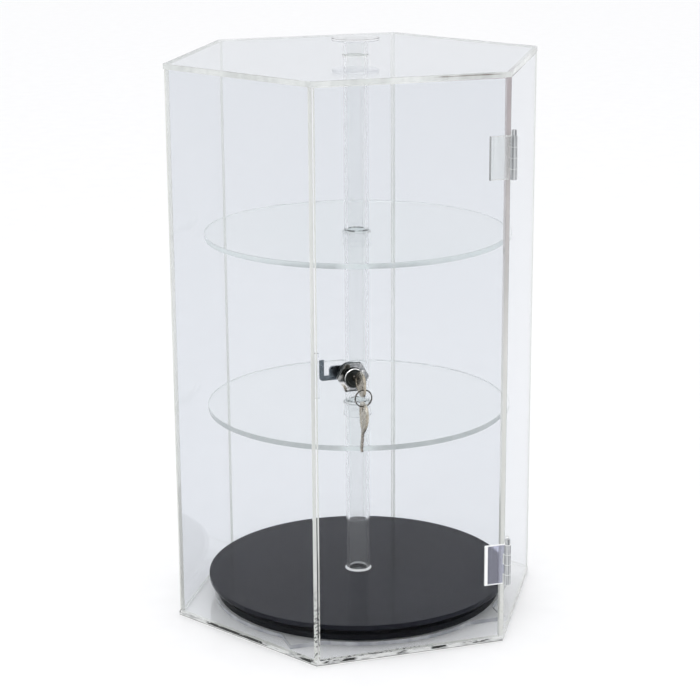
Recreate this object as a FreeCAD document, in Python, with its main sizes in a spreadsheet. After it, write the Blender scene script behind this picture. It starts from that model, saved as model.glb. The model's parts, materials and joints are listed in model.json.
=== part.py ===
"""Hexagonal clear showcase with a hinged, key-locked door and a revolving tower of round shelves.

Frame: millimetres, +Z up, the door faces -Y. The origin is the centre of the hexagon's underside,
which is also on the axis that the tower turns about.
"""
import FreeCAD, Part
import math
import os
import Sketcher
from FreeCAD import Placement, Rotation, Vector

SIZES = {
    # case
    "across_flats": 298.0,
    "sheet_thick": 4.8,
    "case_height": 505.0,
    "door_gap": 0.6,
    "post_hole_radius": 11.4,
    # turntable
    "base_thick": 4.0,
    "base_round_radius": 133.5,
    "base_ear_width": 199.0,
    "base_ear_depth": 230.0,
    "race_thick": 5.7,
    "race_gap": 1.2,
    "lower_race_outer": 131.0,
    "lower_race_inner": 104.0,
    "upper_race_outer": 127.0,
    "upper_race_inner": 108.0,
    "ball_circle": 117.5,
    "ball_radius": 2.5,
    "groove_radius": 2.8,
    "ball_count": 24.0,
    "cage_inner": 113.0,
    "cage_outer": 122.0,
    "cage_thick": 0.6,
    "disc_top": 26.0,
    "disc_thick": 4.3,
    # tower
    "disc_radius": 138.5,
    "shelf_radius": 135.5,
    "shelf_thick": 4.8,
    "middle_shelf_top": 190.0,
    "upper_shelf_top": 349.0,
    "post_radius": 11.0,
    "post_wall": 3.0,
    "glue_gap": 0.05,
    "collar_radius": 13.0,
    "collar_height": 12.0,
    "neck_rise": 12.5,
    "knob_radius": 21.0,
    "knob_thick": 2.5,
    # hinges
    "leaf_width": 20.4,
    "leaf_height": 37.0,
    "leaf_thick": 1.6,
    "knuckle_radius": 3.0,
    "knuckle_gap": 0.3,
    "hinge_pin_radius": 1.2,
    "hinge_bore_radius": 1.25,
    "pin_head_radius": 2.2,
    "pin_head_height": 5.0,
    "hinge_stand_off": 3.4,
    "lower_hinge_z": 74.5,
    "upper_hinge_z": 434.0,
    # lock
    "lock_x": -52.7,
    "lock_z": 258.4,
    "barrel_radius": 8.4,
    "barrel_proud": 7.3,
    "barrel_length": 15.1,
    "flange_radius": 11.0,
    "flange_thick": 2.2,
    "nut_flats": 24.0,
    "nut_thick": 4.4,
    "plug_radius": 5.5,
    "plug_bore_radius": 5.58,
    "plug_recess": 0.3,
    "plug_length": 17.3,
    "keyway_width": 2.1,
    "keyway_height": 5.0,
    "keyway_depth": 16.4,
    "tail_side": 6.4,
    "tail_length": 2.3,
    "cam_thick": 2.0,
    "cam_reach": 25.3,
    "hook_width": 4.3,
    "hook_top": 13.1,
    "hook_bottom": 4.9,
    "cam_plate_reach": 16.5,
    "cam_plate_top": 7.2,
    "cam_screw_radius": 4.2,
    "cam_screw_head": 2.2,
    "cam_shank_radius": 1.5,
    "cam_shank_length": 3.0,
    "keeper_edge": 79.3,
    "keeper_thick": 3.2,
    "keeper_clear": 0.5,
    "keeper_low": 240.0,
    "keeper_high": 279.0,
    # keys and ring
    "key_thick": 1.5,
    "key_length": 45.1,
    "bow_length": 25.0,
    "bow_half_width": 10.4,
    "bow_end_half_width": 4.6,
    "bow_shoulder_half_width": 8.4,
    "bow_waist_half_width": 7.6,
    "bow_neck_half_width": 3.6,
    "blade_half_width": 2.2,
    "key_hole_radius": 2.0,
    "key_hole_inset": 5.0,
    "key_hole_offset": 2.2,
    "key_end_y": -185.0,
    "spare_lean": 11.0,
    "ring_radius": 7.1,
    "wire_radius": 0.65,
    "wire_play": 0.25,
}

DEGREES_PER_SIDE = 60
KNUCKLE_ROWS = 4
SIDE_PANELS = {"panel_right_front": 1, "panel_right_back": 2, "panel_back": 3,
               "panel_left_back": 4, "panel_left_front": 5}

doc = FreeCAD.newDocument("showcase")
sheet = doc.addObject("Spreadsheet::Sheet", "Sizes")
subparts = []


def fill_sheet():
    """One row for each driving dimension: its name in column A, its value in column B."""
    for row, (alias, value) in enumerate(SIZES.items(), start=1):
        sheet.set(f"A{row}", alias)
        sheet.set(f"B{row}", str(value))
        sheet.setAlias(f"B{row}", alias)
    doc.recompute()


def size(formula):
    """The number that a formula of the sheet's aliases gives."""
    value = sheet.evalExpression(bind(formula))
    return float(getattr(value, "Value", value))


def bind(formula):
    """The same formula with every alias written as a reference to the sheet."""
    words, word = [], ""
    for letter in formula + " ":
        if letter.isalnum() or letter == "_" or (letter == "." and word[:1].isdigit()):
            word += letter
            continue
        words.append(f"Sizes.{word}" if word in SIZES else word)
        words.append(letter)
        word = ""
    return "".join(words).strip()


def place(thing, x=0.0, y=0.0, z=0.0, rotation=None):
    """Puts an object at a point, turned by a rotation."""
    thing.Placement = Placement(Vector(x, y, z), rotation or Rotation())
    return thing


def finish(thing, label):
    """Names a finished sub-part and lists it for export."""
    thing.Label = label
    subparts.append(thing)
    return thing


# ---- small builders -------------------------------------------------------------------------

def primitive(kind, name, **sizes):
    """A Part primitive whose properties follow formulas of the sheet."""
    thing = doc.addObject(f"Part::{kind}", name)
    for prop, formula in sizes.items():
        thing.setExpression(prop, bind(str(formula)))
    return thing


def cut(name, base, tool):
    thing = doc.addObject("Part::Cut", name)
    thing.Base = base
    thing.Tool = tool
    return thing


def fuse(name, shapes):
    thing = doc.addObject("Part::MultiFuse", name)
    thing.Shapes = shapes
    thing.Refine = True
    return thing


def new_body(name):
    return doc.addObject("PartDesign::Body", name)


def new_sketch(body, role, name):
    """A sketch on one of the body's own origin planes."""
    sketch = body.newObject("Sketcher::SketchObject", name)
    plane = next(f for f in body.Origin.OriginFeatures if f.Role == role)
    sketch.AttachmentSupport = (plane, [""])
    sketch.MapMode = "FlatFace"
    return sketch


def add_circle(sketch, radius, x="0", y="0"):
    """A circle whose radius and centre follow formulas."""
    centre = Vector(size(x), size(y), 0)
    index = sketch.addGeometry(Part.Circle(centre, Vector(0, 0, 1), size(radius)))
    constraint = sketch.addConstraint(Sketcher.Constraint("Radius", index, size(radius)))
    sketch.setExpression(f"Constraints[{constraint}]", bind(radius))
    pin_point(sketch, index, 3, x, y)


def pin_point(sketch, index, point, x, y):
    """Ties one point of the sketch to formulas for its two coordinates."""
    for kind, formula in (("DistanceX", x), ("DistanceY", y)):
        datum = Sketcher.Constraint(kind, -1, 1, index, point, size(formula))
        number = sketch.addConstraint(datum)
        sketch.setExpression(f"Constraints[{number}]", bind(formula))


def add_outline(sketch, corners):
    """A closed outline of straight lines through corners given as pairs of formulas."""
    points = [Vector(size(x), size(y), 0) for x, y in corners]
    first = None
    for number, start in enumerate(points):
        end = points[(number + 1) % len(points)]
        index = sketch.addGeometry(Part.LineSegment(start, end))
        first = index if first is None else first
        if index > first:
            sketch.addConstraint(Sketcher.Constraint("Coincident", index - 1, 2, index, 1))
    sketch.addConstraint(Sketcher.Constraint("Coincident", index, 2, first, 1))
    for number, (x, y) in enumerate(corners):
        pin_point(sketch, first + number, 1, x, y)


def add_pad(body, sketch, length, both_ways=False, name="Pad"):
    pad = body.newObject("PartDesign::Pad", name)
    pad.Profile = sketch
    pad.Midplane = both_ways
    pad.setExpression("Length", bind(length))
    sketch.Visibility = False
    return pad


def add_groove(body, sketch, name="Groove"):
    groove = body.newObject("PartDesign::Groove", name)
    groove.Profile = sketch
    groove.ReferenceAxis = (sketch, ["V_Axis"])
    groove.Angle = 360
    sketch.Visibility = False
    return groove


def round_edges(body, feature, radius, chosen, name="Fillet"):
    """Rounds the feature's edges that the test chooses."""
    doc.recompute()
    names = [f"Edge{n}" for n, edge in enumerate(feature.Shape.Edges, start=1) if chosen(edge)]
    fillet = body.newObject("PartDesign::Fillet", name)
    fillet.Base = (feature, names)
    fillet.Radius = radius
    return fillet


def ring_plate(label, outer, thick, bottom, inner=None):
    """A round plate about the tower's axis, with a hole when an inner radius is given."""
    body = new_body(label)
    sketch = new_sketch(body, "XY_Plane", f"{label}_outline")
    add_circle(sketch, outer)
    if inner:
        add_circle(sketch, inner)
    add_pad(body, sketch, thick, name=f"{label}_plate")
    body.setExpression("Placement.Base.z", bind(bottom))
    return body


# ---- case -----------------------------------------------------------------------------------

def make_hexagon_panel(label, bottom, post_hole):
    """The top or bottom sheet: a hexagon with flat sides to the front and back."""
    plate = primitive("Prism", f"{label}_sheet", Circumradius="across_flats / sqrt(3)",
                      Height="sheet_thick")
    plate.Polygon = 6
    panel = plate
    if post_hole:
        drill = primitive("Cylinder", f"{label}_drill", Radius="post_hole_radius",
                          Height="sheet_thick * 3")
        place(drill, z=-size("sheet_thick"))
        panel = cut(f"{label}_drilled", plate, drill)
    panel.setExpression("Placement.Base.z", bind(bottom))
    finish(panel, label)


def make_side_sheet(label, side, low, high, trim):
    """A side of the hexagon: a square-cut sheet whose inner upright edges meet its neighbours'."""
    width = f"(across_flats - 2 * sheet_thick) / sqrt(3) - 2 * ({trim})"
    sheet_part = primitive("Box", f"{label}_sheet", Length=width, Width="sheet_thick",
                           Height=f"{high} - ({low})")
    turn = Rotation(Vector(0, 0, 1), side * DEGREES_PER_SIDE)
    corner = Vector(-size(width) / 2, -size("across_flats / 2"), 0)
    offset = turn.multVec(corner)
    return place(sheet_part, offset.x, offset.y, size(low), turn)


def make_case():
    make_hexagon_panel("bottom_panel", "0", post_hole=False)
    make_hexagon_panel("top_panel", "case_height - sheet_thick", post_hole=True)
    for label, side in SIDE_PANELS.items():
        panel = make_side_sheet(label, side, "sheet_thick", "case_height - sheet_thick", "0")
        finish(panel, label)


def make_keeper():
    """The clear strike glued inside the left front panel, just behind the door's free edge."""
    body = new_body("lock_keeper")
    sketch = new_sketch(body, "XY_Plane", "keeper_outline")
    inner_flat = "(across_flats / 2 - sheet_thick)"
    front_y = f"-{inner_flat} + keeper_clear"
    back_y = f"{front_y} + keeper_thick"
    corner = "((across_flats - 2 * sheet_thick) / sqrt(3) / 2)"
    add_outline(sketch, [
        ("-keeper_edge", front_y),
        ("-keeper_edge", back_y),
        (f"-{corner} - (keeper_clear + keeper_thick) / sqrt(3)", back_y),
        (f"-{corner} - keeper_clear / sqrt(3)", front_y)])
    add_pad(body, sketch, "keeper_high - keeper_low", name="keeper_plate")
    body.setExpression("Placement.Base.z", bind("keeper_low"))
    finish(body, "lock_keeper")


# ---- turntable ------------------------------------------------------------------------------

def make_base_plate():
    """The clear plate on the case floor: a round plate with four square ears."""
    disc = primitive("Cylinder", "base_round", Radius="base_round_radius", Height="base_thick")
    ears = primitive("Box", "base_ears", Length="base_ear_width", Width="base_ear_depth",
                     Height="base_thick")
    place(ears, -size("base_ear_width / 2"), -size("base_ear_depth / 2"))
    plate = fuse("base_plate_outline", [disc, ears])
    plate.setExpression("Placement.Base.z", bind("sheet_thick"))
    finish(plate, "turntable_base_plate")


LOWER_RACE_BOTTOM = "sheet_thick + base_thick"
BALL_HEIGHT = "sheet_thick + base_thick + race_thick + race_gap / 2"
UPPER_RACE_BOTTOM = "sheet_thick + base_thick + race_thick + race_gap"
DISC_BOTTOM = "disc_top - disc_thick"


def make_race(label, outer, inner, bottom, thick, groove_height):
    """A flat race ring with a round groove for the balls."""
    body = ring_plate(label, outer, thick, bottom, inner)
    profile = new_sketch(body, "XZ_Plane", f"{label}_groove_profile")
    add_circle(profile, "groove_radius", "ball_circle", groove_height)
    add_groove(body, profile, f"{label}_groove")
    finish(body, label)


def make_races():
    make_race("bearing_lower_race", "lower_race_outer", "lower_race_inner",
              LOWER_RACE_BOTTOM, "race_thick", "race_thick + race_gap / 2")
    make_race("bearing_upper_race", "upper_race_outer", "upper_race_inner",
              UPPER_RACE_BOTTOM, f"{DISC_BOTTOM} - ({UPPER_RACE_BOTTOM})", "-race_gap / 2")


def ball_place(number):
    angle = 2 * math.pi * number / size("ball_count")
    return Vector(size("ball_circle") * math.cos(angle), size("ball_circle") * math.sin(angle), 0)


def make_balls_and_cage():
    """Loose steel balls in one flat ring that keeps them apart."""
    count = int(size("ball_count"))
    balls, pockets = [], []
    for number in range(count):
        spot = ball_place(number)
        ball = primitive("Sphere", f"ball_{number}", Radius="ball_radius")
        balls.append(place(ball, spot.x, spot.y, size(BALL_HEIGHT)))
        pocket = primitive("Cylinder", f"pocket_{number}", Radius="ball_radius + glue_gap",
                           Height="cage_thick * 3")
        pockets.append(place(pocket, spot.x, spot.y, -size("cage_thick")))
    group = doc.addObject("Part::Compound", "ball_set")
    group.Links = balls
    finish(group, "bearing_balls")

    ring = primitive("Cylinder", "cage_ring", Radius="cage_outer", Height="cage_thick")
    bore = primitive("Cylinder", "cage_bore", Radius="cage_inner", Height="cage_thick * 3")
    place(bore, z=-size("cage_thick"))
    drills = doc.addObject("Part::Compound", "cage_pockets")
    drills.Links = [bore] + pockets
    cage = cut("cage_drilled", ring, drills)
    cage.setExpression("Placement.Base.z", bind(f"{BALL_HEIGHT} - cage_thick / 2"))
    finish(cage, "bearing_cage")


# ---- tower ----------------------------------------------------------------------------------

def make_tower():
    post_seat = "post_radius + glue_gap"
    finish(ring_plate("turntable_disc", "disc_radius", "disc_thick", DISC_BOTTOM, post_seat),
           "turntable_disc")
    finish(ring_plate("tower_post", "post_radius", f"case_height + neck_rise - ({DISC_BOTTOM})",
                      DISC_BOTTOM, "post_radius - post_wall"), "tower_post")
    for level in ("middle", "upper"):
        top = f"{level}_shelf_top"
        shelf = ring_plate(f"shelf_{level}", "shelf_radius", "shelf_thick",
                           f"{top} - shelf_thick", post_seat)
        finish(shelf, f"shelf_{level}")
        collar = ring_plate(f"collar_{level}", "collar_radius", "collar_height",
                            f"{top} - shelf_thick - collar_height", post_seat)
        finish(collar, f"shelf_collar_{level}")
    knob = ring_plate("knob", "knob_radius", "knob_thick", "case_height + neck_rise")
    round_edges(knob, knob.Tip, 0.6, lambda edge: edge.Length > size("knob_radius"))
    finish(knob, "tower_knob")


# ---- door, hinges and lock ------------------------------------------------------------------

def hinge_axis():
    """The hinge pin's line stands off the outer corner of the case, on the corner's bisector."""
    corner_x = size("across_flats / sqrt(3) / 2")
    step = size("hinge_stand_off") / math.cos(math.radians(30))
    return Vector(corner_x + step / 2, -size("across_flats / 2 + hinge_stand_off"), 0)


def make_leaf(label, middle, first_row, direction, turn):
    """A flat leaf with knuckles on every second row. The pin's line is the leaf's local Z axis,
    and direction is +1 or -1 along local X."""
    row = size("leaf_height") / KNUCKLE_ROWS
    start = size("knuckle_radius") + 0.4
    low_side = start if direction > 0 else -size("leaf_width")
    plate = primitive("Box", f"{label}_plate", Length=f"leaf_width - {start}",
                      Width="leaf_thick", Height="leaf_height")
    place(plate, low_side, size("hinge_stand_off - leaf_thick"), -size("leaf_height / 2"))
    pieces = [plate]
    for number in range(first_row, KNUCKLE_ROWS, 2):
        low = -size("leaf_height / 2") + number * row + size("knuckle_gap") / 2
        height = f"leaf_height / {KNUCKLE_ROWS} - knuckle_gap"
        knuckle = primitive("Cylinder", f"{label}_knuckle_{number}", Radius="knuckle_radius",
                            Height=height)
        pieces.append(place(knuckle, z=low))
        web = primitive("Box", f"{label}_web_{number}", Length=f"{start}",
                        Width="leaf_thick - knuckle_gap", Height=height)
        web_side = 0.0 if direction > 0 else -start
        pieces.append(place(web, web_side, size("hinge_stand_off - leaf_thick"), low))
    bore = primitive("Cylinder", f"{label}_bore", Radius="hinge_bore_radius",
                     Height="leaf_height * 2")
    place(bore, z=-size("leaf_height"))
    leaf = cut(f"{label}_bored", fuse(f"{label}_solid", pieces), bore)
    axis = hinge_axis()
    place(leaf, axis.x, axis.y, middle, Rotation(Vector(0, 0, 1), turn))
    finish(leaf, label)


def make_hinge(which):
    """Two leaves and a headed pin: one leaf lies on the door, the other on the next panel."""
    middle = size(f"{which}_hinge_z")
    make_leaf(f"hinge_{which}_door_leaf", middle, 1, -1, 0)
    make_leaf(f"hinge_{which}_case_leaf", middle, 0, 1, DEGREES_PER_SIDE)
    axis = hinge_axis()
    rod = primitive("Cylinder", f"{which}_pin_rod", Radius="hinge_pin_radius",
                    Height="leaf_height")
    head = primitive("Cylinder", f"{which}_pin_head", Radius="pin_head_radius",
                     Height="pin_head_height")
    place(head, z=size("leaf_height"))
    pin = fuse(f"{which}_pin_solid", [rod, head])
    place(pin, axis.x, axis.y, middle - size("leaf_height / 2"))
    finish(pin, f"hinge_{which}_pin")


def lock_turned(thing, y):
    """Puts a piece made along local +Z on the lock's line, pointing into the case."""
    return place(thing, size("lock_x"), y, size("lock_z"), Rotation(Vector(1, 0, 0), -90))


def door_face():
    return -size("across_flats / 2")


def make_door():
    low = "sheet_thick + door_gap"
    high = "case_height - sheet_thick - door_gap"
    door = make_side_sheet("door", 0, low, high, "door_gap")
    hole = primitive("Cylinder", "door_lock_hole", Radius="barrel_radius + glue_gap",
                     Height="sheet_thick * 3")
    lock_turned(hole, door_face() - size("sheet_thick"))
    finish(cut("door_drilled", door, hole), "door_panel")


def make_lock_body():
    """A round barrel through the door with a flange against the door's inner face."""
    barrel = primitive("Cylinder", "barrel", Radius="barrel_radius", Height="barrel_length")
    flange = primitive("Cylinder", "barrel_flange", Radius="flange_radius",
                       Height="flange_thick")
    place(flange, z=size("barrel_proud + sheet_thick"))
    bore = primitive("Cylinder", "barrel_bore", Radius="plug_bore_radius",
                     Height="barrel_length * 2")
    place(bore, z=-size("barrel_length / 2"))
    solid = cut("barrel_bored", fuse("barrel_solid", [barrel, flange]), bore)
    body = doc.addObject("Part::Chamfer", "barrel_chamfered")
    body.Base = solid
    doc.recompute()
    rim = [n for n, edge in enumerate(solid.Shape.Edges, start=1)
           if abs(edge.BoundBox.ZMax) < 1e-6 and edge.Length > size("barrel_radius * 6")]
    body.Edges = [(n, 0.7, 0.7) for n in rim]
    lock_turned(body, door_face() - size("barrel_proud"))
    finish(body, "lock_barrel")


def make_lock_nut():
    nut = primitive("Prism", "nut_hexagon", Circumradius="nut_flats / sqrt(3)",
                    Height="nut_thick")
    nut.Polygon = 6
    bore = primitive("Cylinder", "nut_bore", Radius="barrel_radius + glue_gap",
                     Height="nut_thick * 3")
    place(bore, z=-size("nut_thick"))
    bored = cut("nut_bored", nut, bore)
    lock_turned(bored, door_face() - size("nut_thick"))
    finish(bored, "lock_nut")


def make_plug():
    """The part that turns with the key: a keyway in front and a square tail behind."""
    round_part = primitive("Cylinder", "plug_round", Radius="plug_radius", Height="plug_length")
    tail = primitive("Box", "plug_tail", Length="tail_side", Width="tail_side",
                     Height="tail_length + 1")
    place(tail, -size("tail_side / 2"), -size("tail_side / 2"), size("plug_length") - 1)
    keyway = primitive("Box", "keyway", Length="keyway_width", Width="keyway_height",
                       Height="keyway_depth + 1")
    place(keyway, -size("keyway_width / 2"), -size("keyway_height / 2"), -1)
    screw_hole = primitive("Cylinder", "tail_screw_hole", Radius="cam_shank_radius",
                           Height="cam_shank_length")
    place(screw_hole, z=size("plug_length + tail_length - cam_shank_length"))
    tools = doc.addObject("Part::Compound", "plug_cuts")
    tools.Links = [keyway, screw_hole]
    plug = cut("plug_cut", fuse("plug_solid", [round_part, tail]), tools)
    lock_turned(plug, door_face() - size("barrel_proud - plug_recess"))
    finish(plug, "lock_plug")


def cam_front():
    return door_face() - size("barrel_proud - plug_recess - plug_length")


def make_cam():
    """A flat cam with a hook whose tip turns up, on the plug's square tail."""
    body = new_body("cam")
    outline = new_sketch(body, "XZ_Plane", "cam_outline")
    add_outline(outline, [
        ("-cam_reach", "-hook_bottom"),
        ("cam_plate_top", "-hook_bottom"),
        ("cam_plate_top", "cam_plate_top"),
        ("-cam_plate_reach", "cam_plate_top"),
        ("-cam_plate_reach", "-hook_bottom + hook_width"),
        ("-cam_reach + hook_width", "-hook_bottom + hook_width"),
        ("-cam_reach + hook_width", "hook_top"),
        ("-cam_reach", "hook_top")])
    pad = add_pad(body, outline, "cam_thick", name="cam_plate")
    pad.Reversed = True
    corners = [(-size("cam_reach"), -size("hook_bottom")),
               (-size("cam_plate_reach"), size("cam_plate_top")),
               (size("cam_plate_top"), size("cam_plate_top")),
               (size("cam_plate_top"), -size("hook_bottom"))]

    def at_corner(edge):
        box = edge.BoundBox
        upright = box.YLength > size("cam_thick") / 2
        return upright and any(abs(box.XMin - x) < 1e-4 and abs(box.ZMin - z) < 1e-4
                               for x, z in corners)

    rounded = round_edges(body, pad, 3.6, at_corner, "cam_corners")
    doc.recompute()
    window = new_sketch(body, "XZ_Plane", "cam_square")
    half = "tail_side / 2 + glue_gap"
    add_outline(window, [(f"-({half})", f"-({half})"), (half, f"-({half})"), (half, half),
                         (f"-({half})", half)])
    hole = body.newObject("PartDesign::Pocket", "cam_square_hole")
    hole.Profile = window
    hole.Type = 1
    hole.Midplane = True
    doc.recompute()
    assert hole.Shape.Volume < rounded.Shape.Volume - size("tail_side")
    place(body, size("lock_x"), cam_front(), size("lock_z"))
    finish(body, "lock_cam")


def make_cam_screw():
    head = primitive("Cylinder", "cam_screw_head", Radius="cam_screw_radius",
                     Height="cam_screw_head")
    place(head, z=size("cam_shank_length"))
    shank = primitive("Cylinder", "cam_screw_shank", Radius="cam_shank_radius - glue_gap",
                      Height="cam_shank_length")
    screw = fuse("cam_screw_solid", [head, shank])
    lock_turned(screw, cam_front() + size("tail_length - cam_shank_length"))
    finish(screw, "lock_cam_screw")


# ---- keys and ring --------------------------------------------------------------------------

def make_key(label, hole, turn):
    """A flat key in the plane x = lock_x, its bow's hole at a given place. Before the turn,
    +Y runs from the bow's far end to the tip."""
    body = new_body(label)
    outline = new_sketch(body, "YZ_Plane", f"{label}_outline")
    half = [("0", "bow_end_half_width"),
            ("bow_length / 8", "bow_shoulder_half_width"),
            ("bow_length * 0.4", "bow_half_width"),
            ("bow_length * 0.76", "bow_waist_half_width"),
            ("bow_length", "bow_neck_half_width"),
            ("bow_length", "blade_half_width"),
            ("key_length - blade_half_width / 2", "blade_half_width")]
    mirrored = [(along, f"-{across}") for along, across in reversed(half)]
    add_outline(outline, half + [("key_length", "0")] + mirrored)
    add_circle(outline, "key_hole_radius", "key_hole_inset", "-key_hole_offset")
    pad = add_pad(body, outline, "key_thick", both_ways=True, name=f"{label}_blank")

    def bow_corner(edge):
        box = edge.BoundBox
        across = box.XLength > size("key_thick") / 2
        wide = max(abs(box.ZMin), abs(box.ZMax)) > size("bow_end_half_width") - 0.1
        return across and wide and box.YMax < size("bow_length") - 0.1

    round_edges(body, pad, 2.6, bow_corner, f"{label}_bow")
    end = hole - turn.multVec(Vector(0, size("key_hole_inset"), -size("key_hole_offset")))
    place(body, end.x, end.y, end.z, turn)
    finish(body, label)


def make_keys():
    """One key in the lock, a split ring through its bow, and a spare hanging from the ring."""
    ring_y = size("key_end_y + key_hole_inset")
    lock_hole = Vector(size("lock_x"), ring_y, size("lock_z - key_hole_offset"))
    make_key("lock_key", lock_hole, Rotation())
    slack = size("key_hole_radius - wire_radius - wire_play")
    ring_top = lock_hole.z - slack
    ring = primitive("Torus", "ring_wire", Radius1="ring_radius", Radius2="wire_radius")
    place(ring, size("lock_x"), ring_y, ring_top - size("ring_radius"),
          Rotation(Vector(1, 0, 0), 90))
    finish(ring, "key_ring")
    spare_hole = Vector(size("lock_x"), ring_y, ring_top - 2 * size("ring_radius") - slack)
    downward = Rotation(Vector(1, 0, 0), -90 - size("spare_lean"))
    turned_round = Rotation(Vector(0, 0, 1), 180)
    make_key("spare_key", spare_hole, turned_round.multiply(downward))


# ---- build, check and write -----------------------------------------------------------------

def build():
    fill_sheet()
    make_case()
    make_keeper()
    make_base_plate()
    make_races()
    make_balls_and_cage()
    make_tower()
    for which in ("lower", "upper"):
        make_hinge(which)
    make_door()
    make_lock_body()
    make_lock_nut()
    make_plug()
    make_cam()
    make_cam_screw()
    make_keys()
    doc.recompute()


def check():
    for thing in doc.Objects:
        bad = {"Invalid", "Error"} & set(thing.State)
        if bad:
            raise RuntimeError(f"{thing.Name} is {bad}")
    for part in subparts:
        if part.Shape.isNull() or not part.Shape.isValid() or not part.Shape.Solids:
            raise RuntimeError(f"{part.Label} has no valid solid")


def write():
    os.makedirs("parts", exist_ok=True)
    for part in subparts:
        part.Shape.exportStep(f"parts/{part.Label}.step")
        print(part.Label, len(part.Shape.Solids), round(part.Shape.Volume))


build()
check()
write()
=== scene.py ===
"""Visual model of the hexagonal clear showcase with its turntable tower, built around the
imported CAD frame."""
import json
import math

import bmesh
import bpy
from mathutils import Matrix, Vector


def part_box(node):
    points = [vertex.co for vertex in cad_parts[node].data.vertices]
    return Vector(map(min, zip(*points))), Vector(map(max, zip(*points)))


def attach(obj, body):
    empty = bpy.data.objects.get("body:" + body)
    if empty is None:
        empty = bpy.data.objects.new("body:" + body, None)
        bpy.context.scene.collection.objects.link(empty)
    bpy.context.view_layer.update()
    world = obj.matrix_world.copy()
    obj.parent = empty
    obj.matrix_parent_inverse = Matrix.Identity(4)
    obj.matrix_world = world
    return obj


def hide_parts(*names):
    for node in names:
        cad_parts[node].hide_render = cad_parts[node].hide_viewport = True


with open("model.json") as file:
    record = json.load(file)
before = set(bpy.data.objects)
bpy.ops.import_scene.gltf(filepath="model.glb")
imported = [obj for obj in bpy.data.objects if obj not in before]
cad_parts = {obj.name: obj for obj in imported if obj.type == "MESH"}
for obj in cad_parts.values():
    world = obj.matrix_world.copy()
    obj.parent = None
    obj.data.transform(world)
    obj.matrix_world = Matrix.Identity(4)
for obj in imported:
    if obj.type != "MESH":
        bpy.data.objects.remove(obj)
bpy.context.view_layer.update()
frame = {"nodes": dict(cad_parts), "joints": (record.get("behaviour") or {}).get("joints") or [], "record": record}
MM = 0.001
NODE_BODY = {n: b for b, ns in frame["record"]["behaviour"]["bodies"].items() for n in ns}
NODE_SLOT = {s["node"]: s["material_slot"] for s in frame["record"]["subparts"]}


# ---- camera ---------------------------------------------------------------------------------

CAMERA_PLACE = Vector((-541.0, -1677.6, 727.9)) * MM
CAMERA_TURN = math.radians(17.667)
CAMERA_DOWN = math.radians(15.565)
CAMERA_ROLL = math.radians(-0.362)
CAMERA_LENS = 103.45
CAMERA_NEAR, CAMERA_FAR = 0.01, 60


def make_camera():
    """A long lens in front and to the left of the door, looking slightly down."""
    turn, down, roll = CAMERA_TURN, CAMERA_DOWN, CAMERA_ROLL
    ahead = Vector((math.sin(turn) * math.cos(down), math.cos(turn) * math.cos(down),
                    -math.sin(down)))
    level = Vector((math.cos(turn), -math.sin(turn), 0.0))
    upward = level.cross(ahead)
    right = math.cos(roll) * level + math.sin(roll) * upward
    above = math.cos(roll) * upward - math.sin(roll) * level
    data = bpy.data.cameras.new("camera")
    data.lens = CAMERA_LENS
    data.clip_start, data.clip_end = CAMERA_NEAR, CAMERA_FAR
    camera = bpy.data.objects.new("camera", data)
    turned = Matrix((right, above, -ahead)).transposed().to_4x4()
    camera.matrix_world = Matrix.Translation(CAMERA_PLACE) @ turned
    bpy.context.scene.collection.objects.link(camera)
    bpy.context.scene.camera = camera


make_camera()


# ---- node helpers ---------------------------------------------------------------------------

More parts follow.
